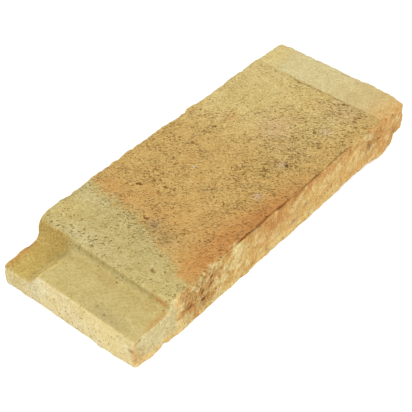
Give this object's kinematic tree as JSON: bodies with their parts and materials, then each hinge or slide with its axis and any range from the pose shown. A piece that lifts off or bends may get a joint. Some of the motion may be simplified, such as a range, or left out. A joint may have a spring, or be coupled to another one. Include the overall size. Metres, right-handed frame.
{
  "type": "overlapping facing brick",
  "caption": "Long hand-moulded clay facing brick with a lap ledge and drained corner at one end and an undercut lip at the other.",
  "frame": {"origin": "middle of the footprint, on the ground under the bed", "axes": "+X along the length from the ledge end to the lip end, +Y across the width towards the drained corner, +Z out of the exposed face"},
  "size_m": [0.528, 0.206, 0.064],
  "materials": {
    "fired_clay": "matte, rough, unglazed"
  },
  "bodies": {
    "root": {"facing_brick": "fired_clay"}
  },
  "joints": []
}
